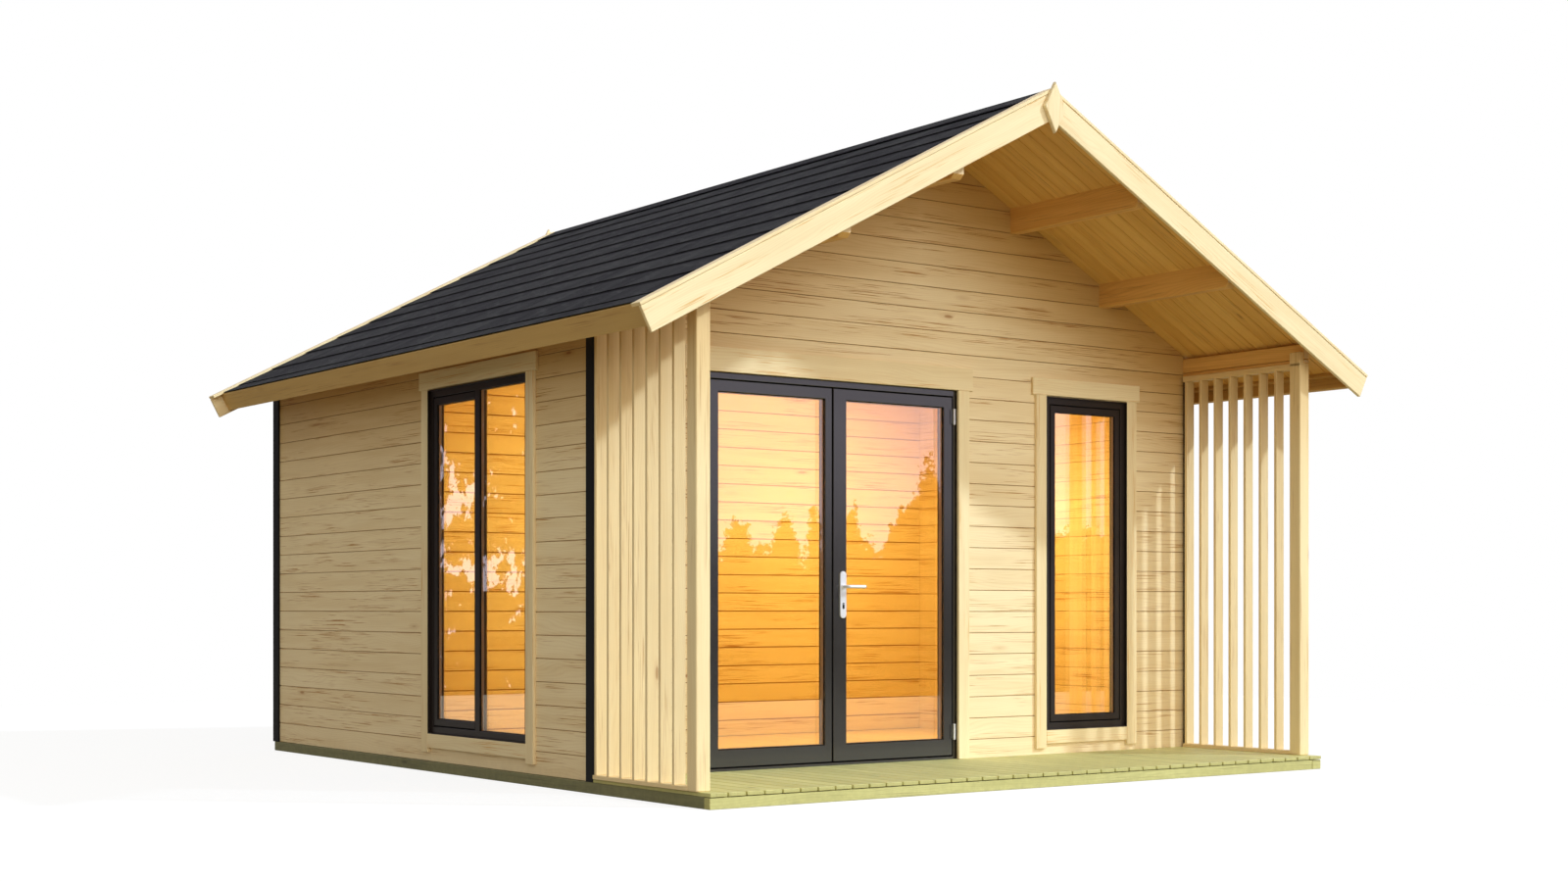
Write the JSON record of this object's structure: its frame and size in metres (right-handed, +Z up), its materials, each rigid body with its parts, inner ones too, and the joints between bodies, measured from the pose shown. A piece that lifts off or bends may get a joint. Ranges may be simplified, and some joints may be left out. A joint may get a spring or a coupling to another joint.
{
  "type": "wooden garden house",
  "caption": "Log-walled garden house with a gabled shingle roof, an open porch between slatted screens, a glazed double door and tall windows.",
  "frame": {"origin": "on the ground under the middle of the roof's bounding box", "axes": "+X to the right of someone who faces the door, +Y from the porch to the back, +Z up"},
  "size_m": [4.744, 4.962, 3.43],
  "materials": {
    "pine": "planed untreated pine",
    "treated_wood": "green pressure-treated pine",
    "roof_shingle": "mineral-surfaced bitumen shingle",
    "black_trim": "matt black",
    "anthracite_frame": "satin anthracite paint on timber",
    "glazing": "clear double glazing",
    "steel": "satin silver"
  },
  "bodies": {
    "house": {"base_frame": "treated_wood", "porch_deck": "treated_wood", "hut_floor": "pine", "front_wall_left": "pine", "front_wall_right": "pine", "front_wall_over_door": "pine", "front_gable": "pine", "back_wall": "pine", "left_wall": "pine", "right_wall": "pine", "partition_sides": "pine", "partition_top": "pine", "corner_trims": "black_trim", "post_left": "pine", "post_right": "pine", "plate_beam_left": "pine", "plate_beam_right": "pine", "screen_left": "pine", "screen_right": "pine", "purlins_left": "pine", "purlins_right": "pine", "roof_boards_left": "pine", "roof_boards_right": "pine", "shingles_left": "roof_shingle", "shingles_right": "roof_shingle", "bargeboards_front": "pine", "bargeboards_back": "pine", "finials": "pine", "eave_boards": "pine", "door_frame": "anthracite_frame", "door_casing": "pine", "front_window_frame": "anthracite_frame", "front_window_glass": "glazing", "front_window_casing": "pine", "side_window_frame": "anthracite_frame", "side_window_glass": "glazing", "side_window_casing": "pine"},
    "left_leaf": {"leaf_left": "anthracite_frame", "glass_left": "glazing", "hinges_left": "steel"},
    "right_leaf": {"leaf_right": "anthracite_frame", "glass_right": "glazing", "hinges_right": "steel", "handle_plates": "steel"},
    "lever": {"handle_lever": "steel"}
  },
  "joints": [
    {"name": "left_leaf_hinge", "type": "hinge", "parent": "house", "child": "left_leaf", "pos_m": [-1.349, -1.461, 1], "axis": [0, 0, -1], "range_deg": [0, 100]},
    {"name": "right_leaf_hinge", "type": "hinge", "parent": "house", "child": "right_leaf", "pos_m": [0.225, -1.461, 1], "axis": [0, 0, 1], "range_deg": [0, 100]},
    {"name": "lever_pivot", "type": "hinge", "parent": "right_leaf", "child": "lever", "pos_m": [-0.517, -1.425, 0.982], "axis": [0, 1, 0], "range_deg": [0, 40], "stiffness_Nm_per_rad": 1.5, "springref_deg": -28.65}
  ]
}
